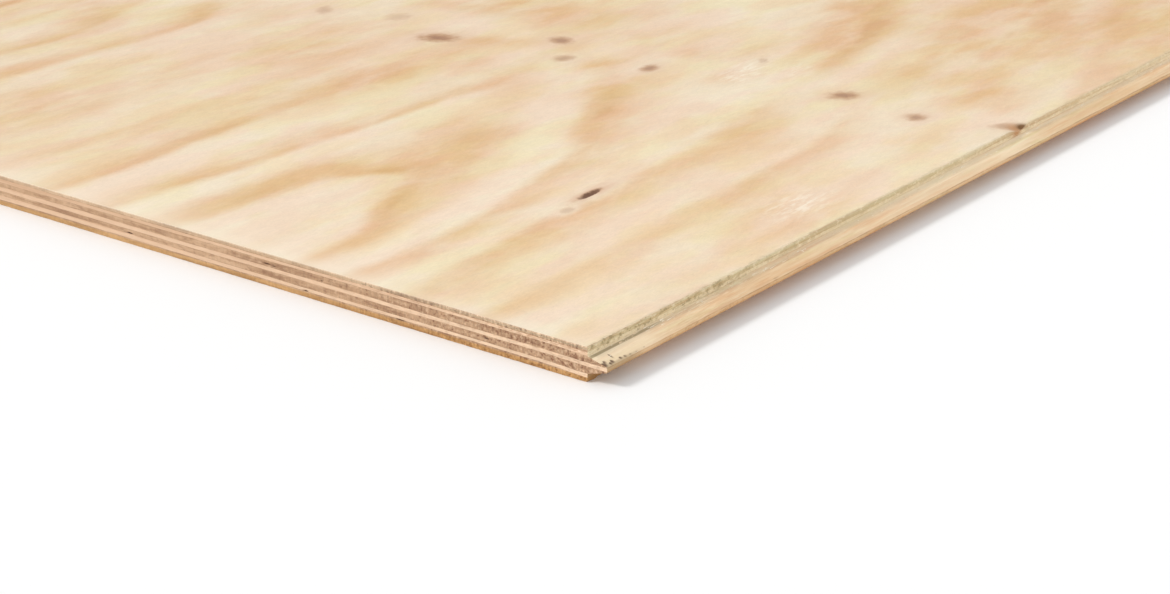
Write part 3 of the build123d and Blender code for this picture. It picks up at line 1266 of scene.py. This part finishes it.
class PineLook(bpy.types.PropertyGroup):
    """Colours and grain of the pine."""

    cream: tint("Early wood", "Pale wood between the rings of the face", (237, 222, 197))
    tan: tint("Late wood", "Bands of late wood in the face", (224, 190, 149))
    orange: tint("Strong late wood", "Late wood where it is strongest", (212, 170, 120))
    pink: tint("Pink cast", "Large soft cast over the face", (255, 247, 248))
    straw: tint("Straw cast", "Large soft cast over the face", (253, 254, 241))
    # Painted shade: a faint darkening of the face away from the near corner, where the light falls off
    further: tint("Further cast", "Cast over the face past the near corner", (251, 252, 253))
    border: tint("By the sawn end", "Paler wood of the face by the sawn end", (246, 234, 212))
    halo: tint("Round the knots", "Wood that bends round a knot", (222, 190, 162))
    knot: tint("Knot", "Wood of a knot", (200, 156, 118))
    knot_dark: tint("Heart of a knot", "Darkest wood of a knot", (142, 98, 72))
    hollow: tint("Hollow", "Shade inside a split or a torn hollow", (84, 54, 42))
    torn: tint("Torn grain", "Pale torn fibres", (248, 238, 218))
    end_grain: tint("Sawn end grain", "End grain of the sawn end", (194, 158, 124))
    end_pale: tint("Sawn end grain, pale", "Palest specks of the sawn end", (226, 192, 158))
    end_dark: tint("Sawn end grain, dark", "Darkest specks of the sawn end", (136, 98, 74))
    cross_side: tint("Crossband at the end", "Crossband along its grain", (226, 190, 157))
    cross_pale: tint("Crossband at the end, pale", "Palest streaks of a crossband", (238, 210, 180))
    cross_dark: tint("Crossband at the end, dark", "Darkest streaks of a crossband", (184, 144, 114))
    milled_grain: tint("Milled end grain", "End grain of a crossband along the edge", (238, 216, 181))
    milled_pale: tint("Milled end grain, pale", "Palest specks along the edge", (242, 226, 194))
    milled_dark: tint("Milled end grain, dark", "Darkest specks along the edge", (194, 174, 136))
    tongue_side: tint("Milled edge", "Grain along the milled edge", (227, 201, 164))
    # Palest streaks of the milled edge; the same colour is also painted light by the tongue's root
    tongue_pale_and_painted_light: tint("Milled edge, pale", "Palest streaks of the milled edge", (243, 226, 196))
    tongue_tan: tint("Milled edge, tan", "Where the milled edge turns tan", (222, 184, 140))
    tongue_dark: tint("Milled edge, dark", "Darkest streaks of the milled edge", (212, 177, 143))
    rosy: tint("Rosy streaks", "Cast in long streaks of the milled edge", (255, 241, 232))
    greenish: tint("Greenish streaks", "Cast in long streaks of the milled edge", (248, 255, 246))
    # Partly the milled wood's own grey, partly painted shade and greenish bounce light
    shoulder: tint("Shoulder", "Cast over the plies above the tongue", (228, 232, 220))
    # Dark fuzz over the shoulder; the same colour is painted shade in the mill's nick and on the tongue's
    # nose by the near end
    shoulder_fuzz_and_shade: tint("Shoulder, dark", "Dark fuzz over the shoulder", (150, 132, 96))
    # Also painted shade under the tongue, where it is cast a second time
    nose: tint("Nose of the tongue", "Cast over the nose of the tongue", (240, 225, 209))
    end_top: tint("Face veneer's end", "End grain of the top ply", (226, 202, 172))
    end_grey: tint("Under the sawn arris", "Fuzz under the arris of the sawn end", (150, 146, 124))
    end_low: tint("Back veneer's end", "End grain of the lowest ply", (232, 196, 144))
    arris: tint("Worn arris", "Fuzz along the face's tongue edge", (196, 184, 150))
    stain: tint("Stain", "Stain round the broken knot", (190, 142, 100))
    broken: tint("Broken knot", "Shade inside the hole of the broken knot", (106, 68, 20))
    # Painted bounce light: a warm cast over the lowest ply's edges
    low: tint("Back veneer's edge", "Cast over the lowest ply's edges", (250, 240, 216))
    glue: tint("Glue line", "Seam between two veneers", (132, 98, 78))
    band_start: share("Band start", "Share of a ring where its late wood begins", 0.26)
    band_full: share("Band full", "Share of a ring where its late wood is full", 0.78)
    band_drop: share("Band drop", "Share of a ring where its late wood begins to end", 0.72)
    faint_bands: share("Faint bands", "Faint bands by chance over the pale wood", 0.24)
    grain: share("Fine grain", "Contrast of the fine grain", 1.0, 3.0)
    end_contrast: share("Edge contrast", "Contrast of the specks in the cut edges", 1.0, 2.0)
    seam_width: FloatProperty(
        name="Seam width", description="Half width of a dark glue line, in millimetres",
        default=0.22, min=0.05, max=1.0)
    seam_strength: share("Seam strength", "Darkness of a glue line", 0.5)


class SplinterSettings(bpy.types.PropertyGroup):
    """Fibres that the mill left on the edges."""

    length: distance("Length", "Longest splinter", 0.008, 0.001, 0.05)
    thickness: distance("Thickness", "Half thickness at the root", 0.00034, 0.00005, 0.002)
    spacing: distance("Spacing", "Mean distance from one splinter to the next", 0.011, 0.002, 0.2)
    lean: angle("Lean", "How far a splinter may lean out of its line", 3)
    seed: IntProperty(name="Seed", description="Which splinters there are", default=4, min=0)


# Strongest that a light can be set
LIGHT_MOST = 10.0


class StageSettings(bpy.types.PropertyGroup):
    """Camera, lights and floor."""

    camera_place: FloatVectorProperty(
        name="Camera place", description="Where the camera stands", size=3, subtype="TRANSLATION",
        unit="LENGTH", default=(-2.04536, -1.22386, 0.45078))
    heading: angle("Heading", "Turn of the view from the sheet's length towards its width", 37.216)
    pitch: angle("Pitch", "How far the view looks down", 21.481)
    focal: FloatProperty(
        name="Focal length", description="In millimetres, for a frame 36 mm wide", default=73.846,
        min=10.0, max=300.0)
    key_travel: direction("Key light's way", "Direction in which the key light travels", (1.0, -0.86, -1.15))
    key_strength: share("Key light", "Strength of the key light", 1.55, LIGHT_MOST)
    key_size: angle("Key light's size", "Angle that the key light fills", 16.0)
    side_travel: direction("Side light's way", "Direction in which the side light travels",
                           (-0.1, 1.0, -0.45))
    side_strength: share("Side light", "Strength of the side light", 0.55, LIGHT_MOST)
    side_size: angle("Side light's size", "Angle that the side light fills", 50.0)
    fill: share("Fill light", "Strength of the light from all round", 0.72, LIGHT_MOST)
    floor_tone: tint("Floor", "The plain floor", (246, 246, 246))


# Operators

# The camera's frame is this wide in millimetres, and the floor this far out and high in metres
FRAME_WIDTH = 36.0
FLOOR_HALF = 20.0
FLOOR_HEIGHT = -0.0001
LIGHT_COLOUR = (1.0, 0.985, 0.96)
SKY_COLOUR = (0.98, 0.99, 1.0)


class PLYWOOD_OT_stage(bpy.types.Operator):
    """Set up the camera, the key, side and fill lights and the floor"""

    bl_idname = "plywood.stage"
    bl_label = "Stage"

    def execute(self, context):
        settings = context.scene.plywood_stage
        scene = context.scene
        camera = new_object("camera", bpy.data.cameras.new("camera"))
        camera.data.lens = settings.focal
        camera.data.sensor_width = FRAME_WIDTH
        camera.data.clip_start = 0.05
        camera.data.clip_end = 100.0
        view = Vector((
            math.cos(settings.heading) * math.cos(settings.pitch),
            math.sin(settings.heading) * math.cos(settings.pitch),
            -math.sin(settings.pitch),
        ))
        camera.location = settings.camera_place
        camera.rotation_euler = view.to_track_quat("-Z", "Y").to_euler()
        scene.camera = camera

        lights = (
            ("key_light", settings.key_travel, settings.key_strength, settings.key_size),
            ("side_light", settings.side_travel, settings.side_strength, settings.side_size),
        )
        for name, travel, strength, size in lights:
            lamp = new_object(name, bpy.data.lights.new(name, "SUN"))
            lamp.data.energy = strength
            lamp.data.angle = size
            lamp.data.color = LIGHT_COLOUR
            lamp.rotation_euler = Vector(travel).to_track_quat("-Z", "Y").to_euler()

        world = bpy.data.worlds.new("studio")
        world.use_nodes = True
        world.node_tree.nodes.clear()
        r = Recipe(world.node_tree)
        sky = r.node("ShaderNodeBackground", None, {"Color": SKY_COLOUR, "Strength": settings.fill})
        r.node("ShaderNodeOutputWorld", None, {"Surface": sky})
        scene.world = world
        scene.view_settings.view_transform = "Standard"

        mesh = bpy.data.meshes.new("floor")
        signs = ((-1, -1), (1, -1), (1, 1), (-1, 1))
        corners = [(x * FLOOR_HALF, y * FLOOR_HALF, FLOOR_HEIGHT) for x, y in signs]
        mesh.from_pydata(corners, [], [(0, 1, 2, 3)])
        material, r = new_material("floor")
        cloudy = r.noise(r.place(), (1.5, 1.5, 1.5))
        white = linear(settings.floor_tone)
        colour = r.mix(cloudy, white, tuple(part * 0.985 for part in white))
        shader = r.node("ShaderNodeBsdfPrincipled", None,
                        {"Base Color": colour, "Roughness": 0.9, "Specular IOR Level": 0.1})
        r.node("ShaderNodeOutputMaterial", None, {"Surface": shader})
        mesh.materials.append(material)
        floor = new_object("floor", mesh)
        return {"FINISHED"}


def edge_materials(look, crossed):
    """The long-edge and sawn-end materials of a veneer, made once each."""
    made = []
    for at_end in (False, True):
        label = ("sawn_end_" if at_end else "milled_edge_") + ("crossband" if crossed else "long_grain")
        material = bpy.data.materials.get(label)
        made.append(material or cut_edge(label, look, at_end, crossed))
    return made


# The part of the face that is in view has points closer together than the rest
NEAR_ZONE = (900, 820)
NEAR_SPACING = 8.0
FAR_SPACING = 17.0


class PLYWOOD_OT_face_veneer(bpy.types.Operator):
    """Build the face veneer with its figure, knots and worn arris"""

    bl_idname = "plywood.face_veneer"
    bl_label = "Face veneer"

    def execute(self, context):
        look = context.scene.plywood_look
        knots = face_knots()
        zones = [
            ((0, 0), NEAR_ZONE, None, NEAR_SPACING),
            ((0, 0), (SHEET_LENGTH, FACE_WIDTH), NEAR_ZONE, FAR_SPACING),
        ]
        points = skin_points(knots + [(*BROKEN_HOLE, 3.5, 3.5, 0, 0)], zones)
        dip = face_dip(knots, points[:, 0], points[:, 1])

        def fields(placed):
            along, across = placed[:, 0], placed[:, 1]
            nearest, dark = knot_fields(knots, along, across)
            ring, show = figure(along, across)
            face_stain = hill(along, across, (429.5, 3.0), (6.5, 5.5), 1.0)
            return {
                "ring": ring + 0.3 * np.exp(-((nearest / 2.0) ** 2)),
                "show": show,
                "knot": nearest,
                "dark": dark,
                "warm": patch_field(WARM_PATCHES, along, across),
                "torn": patch_field(TORN_PATCHES, along, across),
                "pale": patch_field(PALE_PATCHES, along, across),
                "broken": np.clip(hill(along, across, BROKEN_HOLE, (3.4, 3.2), 1.6), 0, 1),
                "stain": np.maximum(edge_stain(placed), face_stain),
            }

        skins = {"top": (points, dip), "bottom": plain_skin()}
        materials = [figured_pine("face_figure", look)] + edge_materials(look, False)
        build_veneer("face_veneer", skins, materials, fields)
        return {"FINISHED"}


class PLYWOOD_OT_back_veneer(bpy.types.Operator):
    """Build the back veneer, rougher and with larger knots than the face"""

    bl_idname = "plywood.back_veneer"
    bl_label = "Back veneer"

    def execute(self, context):
        look = context.scene.plywood_look
        knots = back_knots()
        points = skin_points(knots, [((0, 0), (SHEET_LENGTH, FACE_WIDTH), None, FAR_SPACING)])
        dip = back_dip(knots, points[:, 0], points[:, 1])

        def fields(placed):
            along, across = placed[:, 0], placed[:, 1]
            nearest, dark = knot_fields(knots, along, across)
            nothing = np.zeros(len(along))
            show = 0.75 + 0.25 * smooth_noise(along / 200, across / 90, BACK_SHOW_SEED)
            return {"ring": back_rings(along, across), "show": show, "knot": nearest, "dark": dark,
                    "warm": nothing, "pale": nothing, "torn": nothing, "broken": nothing}

        skins = {"top": plain_skin(), "bottom": (points, dip)}
        materials = [figured_pine("back_figure", look, 70.0)] + edge_materials(look, False)
        build_veneer("back_veneer", skins, materials, fields)
        return {"FINISHED"}


def build_inner(name, look):
    """Builds one veneer that is glued on both faces."""
    edges = edge_materials(look, name in CROSSBANDS)

    def fields(placed):
        return {"stain": edge_stain(placed)}

    skins = {"top": plain_skin(), "bottom": plain_skin()}
    build_veneer(name, skins, [edges[0]] + edges, fields if name == "upper_crossband" else None)


class PLYWOOD_OT_cores(bpy.types.Operator):
    """Build the two thick core veneers, whose grain runs along the sheet"""

    bl_idname = "plywood.cores"
    bl_label = "Core veneers"

    def execute(self, context):
        for name in ("lower_core", "upper_core"):
            build_inner(name, context.scene.plywood_look)
        return {"FINISHED"}


class PLYWOOD_OT_crossbands(bpy.types.Operator):
    """Build the three crossbands, whose grain runs across the sheet"""

    bl_idname = "plywood.crossbands"
    bl_label = "Crossbands"

    def execute(self, context):
        for name in CROSSBANDS:
            build_inner(name, context.scene.plywood_look)
        return {"FINISHED"}


# Guides of the splinters: millimetres out from the shoulder, and where each starts and ends along
GUIDE_START = 8.0
GUIDE_END = SHEET_LENGTH - GUIDE_START
SHORT_GUIDES = [(0.5, 20, 112), (0.9, 16, 130), (1.4, 22, 118), (1.9, 20, 120), (2.6, 24, 200)]
LONG_GUIDES = [(1.8, GUIDE_START, GUIDE_END), (3.4, 40, 600), (5.6, GUIDE_START, GUIDE_END),
               (9.4, GUIDE_START, GUIDE_END), (10.8, GUIDE_START, 420)]
GROOVE_GUIDE_DEPTH = 0.4


def splinter_guides():
    """Lines on the milled edges, in millimetres along, across and up, that splinters lie on."""
    lines = []
    half_root = (TONGUE_ROOT_HIGH - TONGUE_ROOT_LOW) / 2
    middle = THICKNESS / 2
    nose = TONGUE_HEIGHTS[np.argmin(TONGUE_ACROSS)]
    slope = (half_root - abs(middle - nose)) / -TONGUE_ACROSS.min()
    for out, start, end in SHORT_GUIDES + LONG_GUIDES:
        up = half_root - slope * out
        lines.append(((start, -out, middle + up), (end, -out, middle + up)))
        if start == GUIDE_START:
            lines.append(((start, -out, middle - up), (end, -out, middle - up)))
    mouth = GROOVE_HEIGHTS[GROOVE_ACROSS < FACE_WIDTH - 1]
    for height in (mouth.min(), mouth.max()):
        across = FACE_WIDTH - GROOVE_GUIDE_DEPTH
        lines.append(((GUIDE_START, across, height), (GUIDE_END, across, height)))
    return lines


class PLYWOOD_OT_splinters(bpy.types.Operator):
    """Lay loose fibres along the tongue and in the groove's mouth"""

    bl_idname = "plywood.splinters"
    bl_label = "Splinters"

    def execute(self, context):
        settings = context.scene.plywood_splinters
        points = in_frame(np.array(splinter_guides()).reshape(-1, 3))
        mesh = bpy.data.meshes.new("splinter_guides")
        mesh.from_pydata(points.tolist(), [(i, i + 1) for i in range(0, len(points), 2)], [])
        guide = new_object("splinter_guides", mesh)
        modifier = guide.modifiers.new("splinters", "NODES")
        modifier.node_group = splinter_tree()
        values = {"Material": splinter_wood(context.scene.plywood_look)}
        for label in ("Spacing", "Length", "Thickness", "Lean", "Seed"):
            values[label] = getattr(settings, label.lower())
        for socket in modifier.node_group.interface.items_tree:
            if socket.in_out == "INPUT" and socket.name in values:
                modifier[socket.identifier] = values[socket.name]
        depsgraph = context.evaluated_depsgraph_get()
        grown = bpy.data.meshes.new_from_object(guide.evaluated_get(depsgraph), depsgraph=depsgraph)
        if not grown.polygons:
            raise RuntimeError("The splinters came out empty")
        placed = np.empty(len(grown.vertices) * 3)
        grown.vertices.foreach_get("co", placed)
        grown.vertices.foreach_set("co", inside_sheet(placed.reshape(-1, 3)).reshape(-1))
        grown.update()
        bpy.data.objects.remove(guide)
        piece = new_object("splinters", grown)
        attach(piece, "root")
        return {"FINISHED"}


class PLYWOOD_PT_sheet(bpy.types.Panel):
    """The plywood sheet's builders and settings"""

    bl_idname = "PLYWOOD_PT_sheet"
    bl_label = "Plywood sheet"
    bl_space_type = "VIEW_3D"
    bl_region_type = "UI"
    bl_category = "Plywood"

    def draw(self, context):
        layout = self.layout
        for operator in OPERATORS:
            layout.operator(operator.bl_idname)
        for group in ("plywood_look", "plywood_splinters", "plywood_stage"):
            settings = getattr(context.scene, group)
            box = layout.box()
            for key in settings.bl_rna.properties.keys():
                if key not in ("rna_type", "name"):
                    box.prop(settings, key)


OPERATORS = [
    PLYWOOD_OT_stage,
    PLYWOOD_OT_face_veneer,
    PLYWOOD_OT_crossbands,
    PLYWOOD_OT_cores,
    PLYWOOD_OT_back_veneer,
    PLYWOOD_OT_splinters,
]
SETTINGS = {
    "plywood_look": PineLook,
    "plywood_splinters": SplinterSettings,
    "plywood_stage": StageSettings,
}


def register():
    for made in [*SETTINGS.values(), *OPERATORS, PLYWOOD_PT_sheet]:
        bpy.utils.register_class(made)
    for name, group in SETTINGS.items():
        setattr(bpy.types.Scene, name, PointerProperty(type=group))


def unregister():
    for name in SETTINGS:
        delattr(bpy.types.Scene, name)
    for made in [PLYWOOD_PT_sheet, *reversed(OPERATORS), *SETTINGS.values()]:
        bpy.utils.unregister_class(made)


def main():
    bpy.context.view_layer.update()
    register()
    bpy.ops.plywood.stage()
    bpy.ops.plywood.face_veneer()
    bpy.ops.plywood.crossbands()
    bpy.ops.plywood.cores()
    bpy.ops.plywood.back_veneer()
    bpy.ops.plywood.splinters()


if __name__ == "__main__":
    main()
